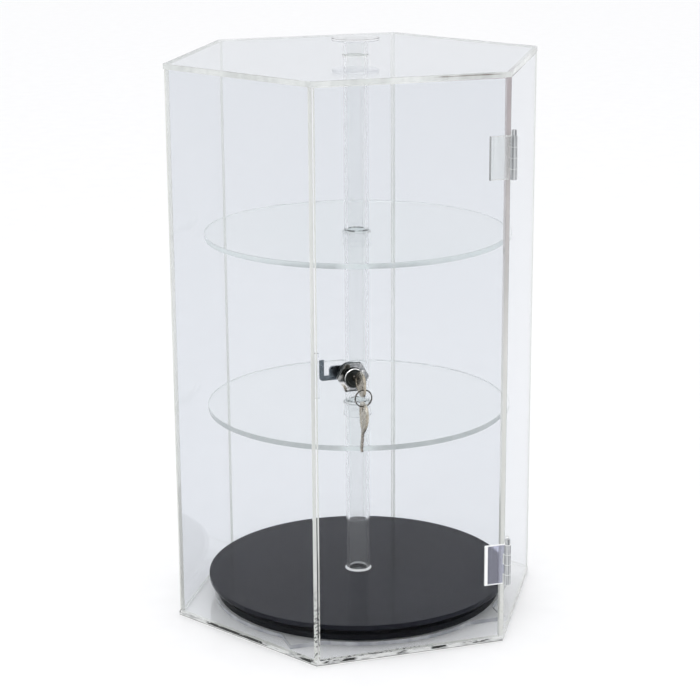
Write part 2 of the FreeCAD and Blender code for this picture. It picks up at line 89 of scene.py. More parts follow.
class Tree:
    """A short way to write a material's nodes."""

    def __init__(self, name):
        self.mat = bpy.data.materials.new(name)
        self.mat.use_nodes = True
        self.nt = self.mat.node_tree
        self.nt.nodes.clear()
        self.out = self.add("OutputMaterial")
        places = self.add("TexCoord").outputs
        self.coords = places["Object"]
        self.facing = places["Normal"]

    def add(self, kind, **values):
        node = self.nt.nodes.new("ShaderNode" + kind)
        for key, value in values.items():
            setattr(node, key, value)
        return node

    def link(self, source, target):
        self.nt.links.new(source, target)

    def feed(self, socket, value):
        """Links an output, or sets a plain value."""
        if isinstance(value, bpy.types.NodeSocket):
            self.link(value, socket)
        elif isinstance(value, (tuple, list)) and len(value) == 3 and socket.type == "RGBA":
            socket.default_value = (*value, 1.0)
        else:
            socket.default_value = value

    def math(self, operation, a, b):
        node = self.add("Math", operation=operation)
        self.feed(node.inputs[0], a)
        self.feed(node.inputs[1], b)
        return node.outputs[0]

    def dot(self, vector, direction):
        """How far a vector points along a fixed direction, -1 to 1."""
        node = self.add("VectorMath", operation="DOT_PRODUCT")
        self.link(vector, node.inputs[0])
        node.inputs[1].default_value = Vector(direction).normalized()
        return node.outputs["Value"]

    def split(self, vector):
        node = self.add("SeparateXYZ")
        self.link(vector, node.inputs[0])
        return node.outputs

    def mix(self, factor, first, second):
        """Blends two colours."""
        node = self.add("Mix", data_type="RGBA")
        self.feed(node.inputs["Factor"], factor)
        for name, value in (("A", first), ("B", second)):
            socket = [s for s in node.inputs if s.name == name and s.type == "RGBA"][0]
            self.feed(socket, value)
        return [s for s in node.outputs if s.type == "RGBA"][0]

    def band(self, value, start, end, soft):
        """1 between two values and 0 outside them, with soft ends."""
        return self.math("MULTIPLY", self.remap(value, start, start + soft, 0.0, 1.0),
                         self.remap(value, end - soft, end, 1.0, 0.0))

    def stretched(self, scale):
        """Object coordinates stretched by a scale along each axis."""
        node = self.add("Mapping")
        self.link(self.coords, node.inputs["Vector"])
        node.inputs["Scale"].default_value = scale
        return node.outputs["Vector"]

    def noise(self, scale, detail=3.0, roughness=0.5, vector=None, distortion=0.0):
        node = self.add("TexNoise")
        self.link(vector or self.coords, node.inputs["Vector"])
        node.inputs["Scale"].default_value = scale
        node.inputs["Detail"].default_value = detail
        node.inputs["Roughness"].default_value = roughness
        node.inputs["Distortion"].default_value = distortion
        return node.outputs["Fac"]

    def remap(self, value, low, high, out_low, out_high):
        node = self.add("MapRange")
        self.link(value, node.inputs["Value"])
        for name, number in zip(("From Min", "From Max", "To Min", "To Max"),
                                (low, high, out_low, out_high)):
            node.inputs[name].default_value = number
        return node.outputs["Result"]

    def ramp(self, value, *stops):
        """A colour ramp from (place, colour) stops."""
        node = self.add("ValToRGB")
        self.link(value, node.inputs["Fac"])
        elements = node.color_ramp.elements
        while len(elements) < len(stops):
            elements.new(0.5)
        for element, (place, colour) in zip(elements, stops):
            element.position = place
            element.color = (*colour, 1.0)
        return node.outputs["Color"]

    def bump(self, height, strength, distance):
        node = self.add("Bump")
        self.link(height, node.inputs["Height"])
        node.inputs["Strength"].default_value = strength
        node.inputs["Distance"].default_value = distance
        return node.outputs["Normal"]

    def principled(self, **sockets):
        node = self.add("BsdfPrincipled")
        for name, value in sockets.items():
            self.feed(node.inputs[name.replace("_", " ")], value)
        return node.outputs["BSDF"]

    def lets_lamps_through(self, shader, tint):
        """Clear plastic that does not block lamps: rays to lamps and soft bounces pass straight."""
        path = self.add("LightPath")
        for ray in ("Is Shadow Ray", "Is Diffuse Ray"):
            clear = self.add("BsdfTransparent")
            clear.inputs["Color"].default_value = (*tint, 1.0)
            mix = self.add("MixShader")
            self.link(path.outputs[ray], mix.inputs[0])
            self.link(shader, mix.inputs[1])
            self.link(clear.outputs[0], mix.inputs[2])
            shader = mix.outputs[0]
        return shader

    def done(self, shader):
        self.link(shader, self.out.inputs["Surface"])
        return self.mat


# ---- materials ------------------------------------------------------------------------------
# Places inside a material are in metres, in the part's frame, and colours are linear.

ACRYLIC = 1.49
DARK_LINE_TALL = 0.9 * MM


def clear_material(name, low, high, shade, rough=(0.0, 0.03), transmission=1.0, wave=0.003,
                   ior=ACRYLIC, dark_lines_at=()):
    """Polished clear plastic: faint colour drift, slight waviness and wiping marks. At each given
    height the colour darkens in a thin broken line round the piece."""
    t = Tree(name)
    colour = t.ramp(t.noise(4.0), (0.3, low), (0.7, high))
    for height in dark_lines_at:
        ring = t.band(t.split(t.coords)[2], height, height + DARK_LINE_TALL, 0.0002)
        broken = t.remap(t.noise(230.0, 1.0), 0.42, 0.50, 0.0, 1.0)
        darkened = t.math("MULTIPLY", ring, broken)
        colour = t.mix(darkened, colour, (0.05, 0.05, 0.05))
    wipes = t.noise(9.0, 4.0, 0.6, t.stretched((1.0, 1.0, 0.25)))
    roughness = t.remap(wipes, 0.45, 0.8, *rough)
    normal = t.bump(t.noise(14.0, 1.0), wave, 0.001)
    shader = t.principled(Base_Color=colour, Roughness=roughness,
                          Transmission_Weight=transmission, IOR=ior, Normal=normal)
    return t.done(t.lets_lamps_through(shader, shade))


def edge_material(name, low, high, transmission=0.7, joint=False, line=None):
    """The sawn and flame-polished edge of a sheet: greyer, with fine saw marks. At a joint the
    cement is browner high up beside the hinges, and has small dark bubbles near the floor. A line
    is the height of a brown streak along the front edge."""
    t = Tree(name)
    patches = t.noise(60.0, 3.0, 0.6, t.stretched((1.0, 1.0, 0.12)))
    colour = t.ramp(patches, (0.35, low), (0.65, high))
    if joint:
        x, y, z = t.split(t.coords)
        brown = t.ramp(patches, (0.3, (0.29, 0.245, 0.265)), (0.7, (0.43, 0.38, 0.39)))
        front_right = t.math("MULTIPLY", t.remap(x, 0.02, 0.06, 0.0, 1.0),
                             t.remap(y, -0.12, -0.10, 1.0, 0.0))
        high_right = t.math("MULTIPLY", front_right, t.remap(z, 0.20, 0.47, 0.1, 0.95))
        colour = t.mix(high_right, colour, brown)
        bubbles = t.noise(1.0, 2.0, 0.6, t.stretched((260.0, 260.0, 520.0)))
        front_left = t.math("MULTIPLY", t.remap(y, -0.13, -0.12, 1.0, 0.15),
                            t.remap(x, 0.0, 0.03, 1.0, 0.15))
        low_down = t.math("MULTIPLY", t.math("MULTIPLY", t.remap(z, 0.040, 0.075, 1.0, 0.0),
                                             front_left),
                          t.remap(bubbles, 0.52, 0.60, 0.0, 0.85))
        colour = t.mix(low_down, colour, (0.06, 0.06, 0.065))
    if line:
        x, y, z = t.split(t.coords)
        in_line = t.math("MULTIPLY", t.band(z, line - 0.0008, line + 0.0006, 0.0004),
                         t.band(x, 0.016, 0.084, 0.012))
        in_front = t.math("MULTIPLY", in_line, t.remap(y, -0.14, -0.135, 1.0, 0.0))
        streaked = t.math("MULTIPLY", in_front, t.remap(patches, 0.3, 0.6, 0.9, 0.45))
        colour = t.mix(streaked, colour, (0.14, 0.09, 0.07))
    marks = t.noise(900.0, 2.0, 0.6, t.stretched((1.0, 1.0, 0.06)))
    normal = t.bump(marks, 0.12, 0.0002)
    rough = t.remap(patches, 0.3, 0.7, 0.10, 0.26)
    shader = t.principled(Base_Color=colour, Roughness=rough,
                          Transmission_Weight=transmission, IOR=ACRYLIC, Normal=normal)
    return t.done(t.lets_lamps_through(shader, (0.8, 0.81, 0.81)))


def floor_edge_material(name):
    """The bottom sheet's outer edge, with painted light: a painted highlight as its lowest line,
    then pale smears of painted reflection, with dark runs of painted reflection in its upper half."""
    t = Tree(name)
    x, y, z = t.split(t.coords)
    dashes = t.noise(1.0, 2.0, 0.65, t.stretched((75.0, 75.0, 420.0)))
    patches = t.noise(1.0, 1.0, 0.5, t.stretched((11.0, 11.0, 1.0)))
    at_front = t.remap(y, -0.002, 0.0, 1.0, 0.0)
    runs = None
    for start, end, strength in REFLECTION_RUNS:
        run = t.math("MULTIPLY", t.band(x, start, end, 0.008), strength)
        runs = run if runs is None else t.math("ADD", runs, run)
    elsewhere = t.math("SUBTRACT", 1.0, at_front)
    runs = t.math("ADD", t.math("MULTIPLY", runs, at_front),
                  t.math("MULTIPLY", elsewhere, t.remap(patches, 0.40, 0.46, 0.0, 0.9)))
    streaks = t.math("ADD", dashes, t.math("MULTIPLY", runs, 0.145))
    # Painted reflection: dark runs in the upper half of the edge.
    dark = t.math("MULTIPLY", t.band(z, 0.0021, 0.0052, 0.0005),
                  t.remap(streaks, 0.52, 0.58, 0.0, 1.0))
    dark = t.math("MULTIPLY", dark, t.remap(runs, 0.1, 0.4, 0.25, 1.0))
    # Painted highlight and reflection: pale smears, a grey line and a bright lowest line.
    smear = t.ramp(dashes, (0.32, (0.34, 0.35, 0.35)), (0.60, (0.90, 0.91, 0.90)))
    line = t.mix(t.band(z, 0.0010, 0.0019, 0.0003), smear, (0.22, 0.22, 0.21))
    pale = t.mix(t.remap(z, 0.0008, 0.0011, 0.0, 1.0), (1.0, 1.0, 0.99), line)
    colour = t.mix(dark, pale, (0.012, 0.014, 0.012))
    normal = t.bump(dashes, 0.2, 0.0003)
    rough = t.remap(patches, 0.3, 0.7, 0.15, 0.32)
    shader = t.principled(Base_Color=colour, Roughness=rough, Transmission_Weight=0.08,
                          IOR=ACRYLIC, Normal=normal)
    return t.done(t.lets_lamps_through(shader, (0.75, 0.76, 0.76)))


def hinge_material(name, low, high, transmission, ribs=700.0, crisp=0.13):
    """Clear moulded plastic with faint upright flow ribs."""
    t = Tree(name)
    flow = t.noise(1.0, 2.0, 0.5, t.stretched((ribs, ribs, ribs * 0.01)))
    colour = t.ramp(flow, (0.5 - crisp, low), (0.5 + crisp, high))
    rough = t.remap(t.noise(300.0), 0.3, 0.7, 0.03, 0.12)
    normal = t.bump(flow, 0.04, 0.0003)
    shader = t.principled(Base_Color=colour, Roughness=rough, Normal=normal,
                          Transmission_Weight=transmission, IOR=1.4)
    return t.done(t.lets_lamps_through(shader, (0.9, 0.91, 0.91)))


def black_material(name, base, rough_low, rough_high, ior):
    """Black acrylic: a satin sheen with fine dust and broad, faint wiping marks."""
    t = Tree(name)
    dust = t.noise(1400.0, 2.0, 0.7)
    tone = t.noise(9.0, 3.0, 0.6)
    high = tuple(c * 1.7 + 0.002 for c in base)
    colour = t.mix(t.remap(dust, 0.55, 0.85, 0.0, 0.4), t.ramp(tone, (0.3, base), (0.7, high)),
                   tuple(c * 3.0 + 0.01 for c in base))
    wipes = t.noise(14.0, 3.0, 0.5)
    rough = t.remap(wipes, 0.3, 0.75, rough_low, rough_high)
    normal = t.bump(wipes, 0.01, 0.001)
    return t.done(t.principled(Base_Color=colour, Roughness=rough, Normal=normal, IOR=ior,
                               Specular_Tint=(0.80, 0.83, 1.0)))


def metal_material(name, stops, facing, rough_low, rough_high, streaks=0.12, scale=300.0,
                   metallic=1.0, shade_point=None):
    """Plated metal. Its colour follows which way the surface faces: painted reflections of the
    dark and bright parts of a room, broken up by a fine grain. A shade point, if given: to its
    left the plating has painted shade above a level just under it and a painted highlight
    below, and its foot has painted shade."""
    t = Tree(name)
    cloud = t.noise(130.0, 2.0, 0.5, distortion=1.5)
    # Painted reflection: the colour ramp is read by which way the surface faces.
    turned = t.dot(t.facing, facing)
    place = t.math("ADD", t.remap(turned, -1.0, 1.0, 0.0, 1.0 - streaks),
                   t.remap(cloud, 0.3, 0.7, 0.0, streaks))
    colour = t.ramp(place, *stops)
    if shade_point:
        # Painted shade left of the point above a level, a painted highlight below it, painted shade at its foot.
        x, _, z = t.split(t.coords)
        left = t.remap(x, shade_point.x - 0.0052, shade_point.x - 0.0025, 1.0, 0.0)
        upper = t.remap(z, shade_point.z - 0.0040, shade_point.z - 0.0022, 0.0, 1.0)
        patchy = t.remap(cloud, 0.3, 0.7, 0.65, 1.0)
        dark = t.math("MULTIPLY", t.math("MULTIPLY", left, upper), patchy)
        colour = t.mix(dark, colour, (0.010, 0.016, 0.014))
        lower = t.remap(z, shade_point.z - 0.0040, shade_point.z - 0.0022, 1.0, 0.0)
        colour = t.mix(t.math("MULTIPLY", left, lower), colour, (0.76, 0.76, 0.77))
        foot = t.remap(z, shade_point.z - 0.0112, shade_point.z - 0.0098, 0.9, 0.0)
        colour = t.mix(foot, colour, (0.035, 0.038, 0.04))
    lines = t.noise(scale, 3.0, 0.6)
    rough = t.remap(lines, 0.3, 0.7, rough_low, rough_high)
    normal = t.bump(lines, 0.05, 0.0001)
    return t.done(t.principled(Base_Color=colour, Metallic=metallic, Roughness=rough,
                               Normal=normal))


def plastic_material(name, low, high, rough):
    """Opaque moulded plastic with a fine grain."""
    t = Tree(name)
    colour = t.ramp(t.noise(90.0), (0.3, low), (0.7, high))
    grain = t.noise(800.0, 2.0)
    rough_map = t.remap(grain, 0.3, 0.7, rough - 0.06, rough + 0.06)
    normal = t.bump(grain, 0.06, 0.0002)
    return t.done(t.principled(Base_Color=colour, Roughness=rough_map, Normal=normal))


TOP_EDGE_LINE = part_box("top_panel")[1].z - 0.0015
LOCK_MIDDLE = sum(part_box("lock_barrel"), Vector()) / 2
SHELF_TOPS = (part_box("shelf_middle")[1].z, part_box("shelf_upper")[1].z)
# Where the floor's front joint shows painted reflections as dark runs: each one's start and end
# along x, in metres, and its strength.
REFLECTION_RUNS = ((-0.156, -0.114, 1.0), (-0.100, -0.084, 0.6), (-0.083, -0.047, 0.6),
             (-0.015, -0.002, 0.9), (0.017, 0.036, 1.0), (0.043, 0.080, 0.35))

CLEAR = clear_material("clear_wall_face", (0.864, 0.879, 0.901), (0.880, 0.893, 0.912),
                       (0.99, 0.99, 0.99), ior=1.10)
SHELF = clear_material("clear_shelf_face", (0.985, 1.0, 0.99), (1.0, 1.0, 1.0),
                       (0.99, 0.99, 0.99), ior=1.36)
TUBE = clear_material("clear_tube_wall", (0.94, 0.945, 0.945), (0.96, 0.965, 0.965),
                      (0.95, 0.955, 0.955), (0.0, 0.03), transmission=0.975, wave=0.001,
                      ior=1.45, dark_lines_at=SHELF_TOPS)
KNOB = clear_material("clear_knob", (0.90, 0.91, 0.93), (0.92, 0.93, 0.945),
                      (0.93, 0.94, 0.945), (0.04, 0.12))
EDGE = edge_material("cut_edge", (0.67, 0.685, 0.655), (0.78, 0.79, 0.765), transmission=0.22,
                     joint=True)
LIP = edge_material("top_edge", (0.60, 0.62, 0.61), (0.82, 0.84, 0.83), transmission=0.45,
                    line=TOP_EDGE_LINE)
EAR_EDGE = edge_material("base_ear_edge", (0.50, 0.51, 0.55), (0.86, 0.87, 0.90),
                         transmission=0.5)
RIM = edge_material("shelf_rim", (0.74, 0.79, 0.79), (0.84, 0.88, 0.88), transmission=0.40)
BEAD = clear_material("cement_bead", (0.93, 0.93, 0.94), (0.99, 0.99, 0.99),
                      (0.9, 0.9, 0.9), (0.05, 0.2), transmission=0.45, wave=0.3)
BOTTOM_EDGE_LIGHT = floor_edge_material("bottom_edge_painted_light")
HINGE = hinge_material("hinge_moulding", (0.80, 0.82, 0.81), (0.90, 0.91, 0.91), 0.90)
# Painted shade: the lower leaves' moulding is darker and violet where the black disc shows through it.
HINGE_LOW_SHADED = hinge_material("hinge_moulding_low_painted_shade", (0.56, 0.565, 0.69), (0.68, 0.685, 0.80), 0.88)
# The border lines are painted light: a dark line of painted shade, and bright and pale lines of painted highlight.
HINGE_LINE = hinge_material("hinge_painted_shade_line", (0.26, 0.27, 0.27), (0.40, 0.41, 0.41), 0.25)
HINGE_HIGHLIGHT = hinge_material("hinge_painted_highlight_line", (0.88, 0.88, 0.88), (0.98, 0.98, 0.98), 0.2)
HINGE_PALE_HIGHLIGHT = hinge_material("hinge_painted_pale_line", (0.55, 0.56, 0.56), (0.78, 0.79, 0.79), 0.3)
KNUCKLE = hinge_material("hinge_knuckle", (0.20, 0.21, 0.22), (0.66, 0.67, 0.68), 0.30,
                         ribs=1200.0, crisp=0.07)
COLLAR_END = edge_material("collar_end", (0.20, 0.20, 0.20), (0.42, 0.42, 0.42),
                           transmission=0.35)
KEEPER = clear_material("keeper_sheet", (0.95, 0.955, 0.965), (0.97, 0.975, 0.98),
                        (0.93, 0.94, 0.945), (0.02, 0.08), transmission=0.93)
BLACK = black_material("black_disc_sheet", (0.0045, 0.0047, 0.0075), 0.08, 0.13, 1.20)
RACE = black_material("black_race_metal", (0.003, 0.0034, 0.0046), 0.34, 0.42, 1.12)
# The lock's ramps are painted reflections, tones by which way each face turns; the plating also has painted shade
# and a painted highlight round the lock's middle, and the nose rim's bright end is a painted highlight.
CHROME = metal_material("lock_plating", ((0.06, (0.006, 0.012, 0.010)),
                                         (0.24, (0.04, 0.055, 0.05)),
                                         (0.33, (0.80, 0.81, 0.81)),
                                         (0.48, (0.90, 0.90, 0.90)),
                                         (0.56, (0.16, 0.17, 0.18)),
                                         (0.70, (0.38, 0.39, 0.40)),
                                         (0.84, (0.85, 0.85, 0.85))),
                        (0.55, -0.25, -0.80), 0.06, 0.14, streaks=0.25, shade_point=LOCK_MIDDLE)
NOSE_RIM = metal_material("lock_nose_rim", ((0.1, (0.02, 0.02, 0.02)),
                                            (0.55, (0.10, 0.11, 0.11)),
                                            (0.72, (0.97, 0.97, 0.97))),
                          (-0.25, 0.0, 1.0), 0.05, 0.12, streaks=0.2)
CORE = metal_material("lock_core_face", ((0.1, (0.004, 0.005, 0.005)),
                                         (0.6, (0.012, 0.015, 0.014)),
                                         (0.9, (0.28, 0.30, 0.29))),
                      (0.5, -0.1, 0.86), 0.25, 0.4, metallic=0.6)
# These ramps are painted reflections too: each tone follows which way the surface faces.
CAM = metal_material("cam_plating", ((0.1, (0.07, 0.10, 0.11)), (0.5, (0.17, 0.20, 0.22)),
                                     (0.9, (0.38, 0.41, 0.44))),
                     (-0.4, 0.1, 0.9), 0.24, 0.38)
NICKEL = metal_material("key_plating", ((0.1, (0.08, 0.07, 0.055)), (0.42, (0.27, 0.24, 0.19)),
                                        (0.7, (0.43, 0.39, 0.32)), (0.95, (0.80, 0.77, 0.69))),
                        (-0.5, -0.5, 0.7), 0.2, 0.34, streaks=0.3)
BLADE = metal_material("key_blade_plating", ((0.1, (0.03, 0.028, 0.025)),
                                             (0.5, (0.10, 0.09, 0.08)),
                                             (0.95, (0.34, 0.31, 0.28))),
                       (-0.5, -0.5, 0.7), 0.2, 0.34, streaks=0.3)
WIRE = metal_material("ring_wire", ((0.1, (0.006, 0.006, 0.006)), (0.6, (0.018, 0.017, 0.016)),
                                    (0.95, (0.30, 0.29, 0.27))),
                      (-0.5, -0.3, 0.8), 0.2, 0.34, streaks=0.35)
STEEL = metal_material("ball_steel", ((0.1, (0.2, 0.2, 0.21)), (0.9, (0.75, 0.75, 0.76))),
                       (0.0, 0.0, 1.0), 0.05, 0.12)
CAGE = plastic_material("cage_moulding", (0.70, 0.68, 0.62), (0.80, 0.79, 0.74), 0.45)

FINISH = {"clear_acrylic": (CLEAR, EDGE), "hinge_pin": (KNUCKLE,), "black_plastic": (BLACK,),
          "black_race": (RACE,), "bearing_steel": (STEEL,), "cage_plastic": (CAGE,),
          "lock_chrome": (CHROME,), "lock_core": (CORE,), "cam_steel": (CAM,),
          "key_nickel": (NICKEL, BLADE), "ring_wire": (WIRE,)}


# ---- mesh helpers ---------------------------------------------------------------------------

FACE_INSET = 0.02 * MM
WELD = 0.01 * MM
CREASE = math.radians(20)
SAME_PLANE = math.radians(0.5)
BROAD_FACE = 12 * MM * MM


def piece(bm, name, node, materials=None, flat_over=None, stands_for_node=True):
    """Makes an object that stands for a CAD node and moves with its body. Faces larger than
    flat_over, in square metres, are shaded flat."""
    mesh = bpy.data.meshes.new(name)
    bm.to_mesh(mesh)
    bm.free()
    for material in materials or FINISH[NODE_SLOT[node]]:
        mesh.materials.append(material)
    smooth = [not (len(p.vertices) > 4 or flat_over and p.area > flat_over)
              for p in mesh.polygons]
    mesh.polygons.foreach_set("use_smooth", smooth)
    mesh.set_sharp_from_angle(angle=CREASE)
    thing = bpy.data.objects.new(name, mesh)
    bpy.context.scene.collection.objects.link(thing)
    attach(thing, NODE_BODY[node])
    if stands_for_node:
        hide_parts(node)
    return thing


def cleaned(node):
    """A CAD node's mesh, welded, with its flat faces whole."""
    bm = bmesh.new()
    bm.from_mesh(frame["nodes"][node].data)
    bmesh.ops.remove_doubles(bm, verts=bm.verts, dist=WELD)
    bmesh.ops.dissolve_limit(bm, angle_limit=SAME_PLANE, verts=bm.verts, edges=bm.edges)
    bmesh.ops.recalc_face_normals(bm, faces=bm.faces)
    return bm


def shrink(bm, gap):
    """Draws every face in by a gap, so that touching clear pieces do not share a surface."""
    bm.normal_update()
    moves = [(v, v.normal * gap * v.calc_shell_factor()) for v in bm.verts]
    for v, move in moves:
        v.co -= move


def round_off(bm, width, segments=2, least=35.0):
    """Rounds the edges whose faces meet at more than the least angle, in degrees."""
    sharp = [e for e in bm.edges if len(e.link_faces) == 2
             and e.calc_face_angle(0.0) > math.radians(least)]
    bmesh.ops.bevel(bm, geom=sharp, offset=width, segments=segments, profile=0.6,
                    affect="EDGES", clamp_overlap=True)


def mark_faces(bm, is_broad):
    """The first material for the broad faces of a sheet, the second for its narrow ones."""
    bm.normal_update()
    for face in bm.faces:
        face.material_index = 0 if is_broad(face) else 1


def sheet_piece(node, normal, materials, gap=0.04 * MM, bevel=0.35 * MM):
    """A flat sheet with eased edges."""
    bm = cleaned(node)
    shrink(bm, gap)
    round_off(bm, bevel)
    mark_faces(bm, lambda face: abs(face.normal.dot(normal)) > 0.96)
    return piece(bm, node + "_shown", node, materials, flat_over=BROAD_FACE)


def hex_normal(side):
    """The way a side of the case faces. Side 0 is the door, and they go round to the right."""
    angle = math.radians(60 * side - 90)
    return Vector((math.cos(angle), math.sin(angle), 0))


def eased(profile, radius):
    """A closed profile of (radius, height) points with each corner cut by a small arc."""
    points = []
    for i, corner in enumerate(profile):
        corner = Vector(corner)
        before = Vector(profile[i - 1]) - corner
        after = Vector(profile[(i + 1) % len(profile)]) - corner
        if corner.x < 1e-6:
            points.append(corner)
            continue
        before.normalize()
        after.normalize()
        points += [corner + before * radius, corner + (before + after) * radius * 0.293,
                   corner + after * radius]
    return points


def lathe(profile, segments=160):
    """A ring about the tower's axis from a closed profile of (radius, height) points."""
    bm = bmesh.new()
    rings = []
    for step in range(segments):
        turn = math.tau * step / segments
        rings.append([bm.verts.new((p.x * math.cos(turn), p.x * math.sin(turn), p.y))
                      for p in profile])
    for step in range(segments):
        here, there = rings[step], rings[(step + 1) % segments]
        for i in range(len(profile)):
            j = (i + 1) % len(profile)
            bm.faces.new((here[i], there[i], there[j], here[j]))
    bmesh.ops.remove_doubles(bm, verts=bm.verts, dist=1e-7)
    bmesh.ops.dissolve_degenerate(bm, edges=bm.edges, dist=1e-8)
    bmesh.ops.recalc_face_normals(bm, faces=bm.faces)
    return bm


def turned_piece(node, inner, materials, ease=0.3 * MM, gap=0.03 * MM, broad_flat=True):
    """A round plate, ring or tube turned to the size of its CAD node."""
    low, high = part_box(node)
    outer = high.x - gap
    bottom, top = low.z + gap, high.z - gap
    inside = inner + gap if inner else 0.0
    bm = lathe(eased([(inside, bottom), (outer, bottom), (outer, top), (inside, top)], ease))
    mark_faces(bm, lambda face: (abs(face.normal.z) > 0.96) == broad_flat)
    return piece(bm, node + "_shown", node, materials)


# ---- case and tower -------------------------------------------------------------------------

UP = Vector((0, 0, 1))
SIDES = {"door_panel": 0, "panel_right_front": 1, "panel_right_back": 2, "panel_back": 3,
         "panel_left_back": 4, "panel_left_front": 5}
POST_SEAT = 11.05 * MM
POST_BORE = 8.0 * MM

for label, side in SIDES.items():
    sheet_piece(label, hex_normal(side), (CLEAR, EDGE))
sheet_piece("top_panel", UP, (CLEAR, LIP))
sheet_piece("bottom_panel", UP, (SHELF, BOTTOM_EDGE_LIGHT))
sheet_piece("turntable_base_plate", UP, (SHELF, EAR_EDGE))
sheet_piece("lock_keeper", Vector((0, 1, 0)), (KEEPER, KEEPER))
for label in ("shelf_middle", "shelf_upper"):
    turned_piece(label, POST_SEAT, (SHELF, RIM))
for label in ("shelf_collar_middle", "shelf_collar_upper"):
    turned_piece(label, POST_SEAT, (TUBE, COLLAR_END), broad_flat=False)
turned_piece("tower_post", POST_BORE, (TUBE, RIM), gap=0.04 * MM, broad_flat=False)
turned_piece("tower_knob", None, (KNOB, KNOB), ease=0.6 * MM)
turned_piece("turntable_disc", POST_SEAT, (BLACK, BLACK), ease=0.5 * MM)
for label in ("bearing_lower_race", "bearing_upper_race"):
    bm = cleaned(label)
    shrink(bm, FACE_INSET)
    round_off(bm, 0.25 * MM)
    piece(bm, label + "_shown", label)
for label in ("bearing_balls", "bearing_cage"):
    node = frame["nodes"][label]
    node.data.materials.clear()
    node.data.materials.append(FINISH[NODE_SLOT[label]][0])


# ---- hinges and lock ------------------------------------------------------------------------

HINGE_LINE_AT = Vector(next(j for j in frame["joints"] if j["name"] == "door_swing")["pos_m"])
KNUCKLE_REACH = 3.3 * MM
LEAF_BRIM = 0.8 * MM
THIN_BORDER, WIDE_BORDER = 1.1 * MM, 2.7 * MM
BEAD_INNER = 10.99 * MM
# How far the edges of each turned or stamped metal piece are rounded, in millimetres.
ROUNDINGS = {"hinge_lower_pin": 0.3, "hinge_upper_pin": 0.3, "lock_barrel": 0.5, "lock_nut": 0.6,
             "lock_plug": 0.2, "lock_cam": 0.35, "lock_cam_screw": 0.5}


def leaf_piece(node, normal, away, border, materials):
    """A moulded hinge leaf. Its materials are for the flats, the far border, the other borders
    and edges, and the knuckles."""
    bm = cleaned(node)
    shrink(bm, FACE_INSET)
    round_off(bm, 0.45 * MM)
    low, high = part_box(node)
    bottom, top = low.z + LEAF_BRIM, high.z - LEAF_BRIM
    far = max(v.co.dot(away) for v in bm.verts) - border
    cuts = ((away * far, away), (Vector((0, 0, bottom)), UP), (Vector((0, 0, top)), UP))
    for place, direction in cuts:
        geom = bm.verts[:] + bm.edges[:] + bm.faces[:]
        bmesh.ops.bisect_plane(bm, geom=geom, dist=1e-7, plane_co=place, plane_no=direction)
    bm.normal_update()
    for face in bm.faces:
        middle = face.calc_center_median()
        from_pin = Vector((middle.x - HINGE_LINE_AT.x, middle.y - HINGE_LINE_AT.y)).length
        if from_pin < KNUCKLE_REACH:
            face.material_index = 3 if abs(face.normal.z) < 0.3 else 2
        elif middle.dot(away) > far:
            face.material_index = 1
        elif not bottom < middle.z < top:
            face.material_index = 2
        else:
            face.material_index = 0 if abs(face.normal.dot(normal)) > 0.97 else 2
    return piece(bm, node + "_shown", node, materials, flat_over=BROAD_FACE)


def blacken_nose(bm, front):
    """The barrel's nose has a black face inside its rim, whose bright end is a painted highlight."""
    bm.normal_update()
    for face in bm.faces:
        at_front = face.calc_center_median().y < front + 0.6 * MM
        if at_front and face.normal.y < -0.9:
            face.material_index = 1
        elif at_front and face.normal.y < -0.2:
            face.material_index = 2


# The lower leaves carry painted shade on their flats; every leaf has painted highlight and painted shade lines on
# its borders.
for level, flats, far_border, brims, width in (
        ("lower", HINGE_LOW_SHADED, HINGE_HIGHLIGHT, HINGE_HIGHLIGHT, WIDE_BORDER),
        ("upper", HINGE, HINGE_LINE, HINGE_PALE_HIGHLIGHT, THIN_BORDER)):
    finish = (flats, far_border, brims, KNUCKLE)
    leaf_piece(f"hinge_{level}_door_leaf", hex_normal(0), Vector((-1, 0, 0)), width, finish)
    along = UP.cross(hex_normal(1))
    leaf_piece(f"hinge_{level}_case_leaf", hex_normal(1), along, THIN_BORDER,
               (flats, HINGE_LINE, HINGE_HIGHLIGHT, KNUCKLE))
for label, width in ROUNDINGS.items():
    bm = cleaned(label)
    shrink(bm, FACE_INSET)
    round_off(bm, width * MM)
    if label == "lock_barrel":
        blacken_nose(bm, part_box(label)[0].y)
        piece(bm, label + "_shown", label, (CHROME, CORE, NOSE_RIM))
    else:
        piece(bm, label + "_shown", label)
disc_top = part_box("turntable_disc")[1].z
bead = lathe(eased([(BEAD_INNER, disc_top), (12.3 * MM, disc_top),
                    (12.1 * MM, disc_top + 0.7 * MM),
                    (BEAD_INNER, disc_top + 2.0 * MM)], 0.25 * MM))
piece(bead, "tower_foot_cement", "tower_post", (BEAD,), stands_for_node=False)


# ---- keys and split ring --------------------------------------------------------------------

# Key measures are in millimetres: the bow's half outline as (length, half width), each cut
# between the teeth as (length, depth), and the bow's hole from the key's end and middle line.
BOW = ((0.0, 4.2), (1.2, 6.4), (3.1, 8.3), (6.0, 9.8), (10.0, 10.3), (14.0, 9.7), (19.0, 7.5),
       (22.5, 5.4), (25.0, 3.5))
TOOTH_CUTS = ((28.0, 0.7), (30.6, 1.3), (33.2, 0.4), (35.8, 1.1), (38.4, 0.8), (41.0, 1.3))
TOOTH_FLAT = 0.35
BLADE_HALF = 2.2
SHOULDER, TIP = 25.0, 1.1
BLADE_START = 24.5
KEY_LENGTH = 45.1
KEY_THICK = 1.5
HOLE_INSET, HOLE_OFFSET, HOLE_RADIUS = 5.0, 2.2, 2.0
RIM_PROUD = 0.22
SPARE_LEAN = math.radians(11.0)
KEY_HANG = 1.1 * MM
WIRE_INSET = 0.65 * MM
WIRE_HALF = 0.36 * MM


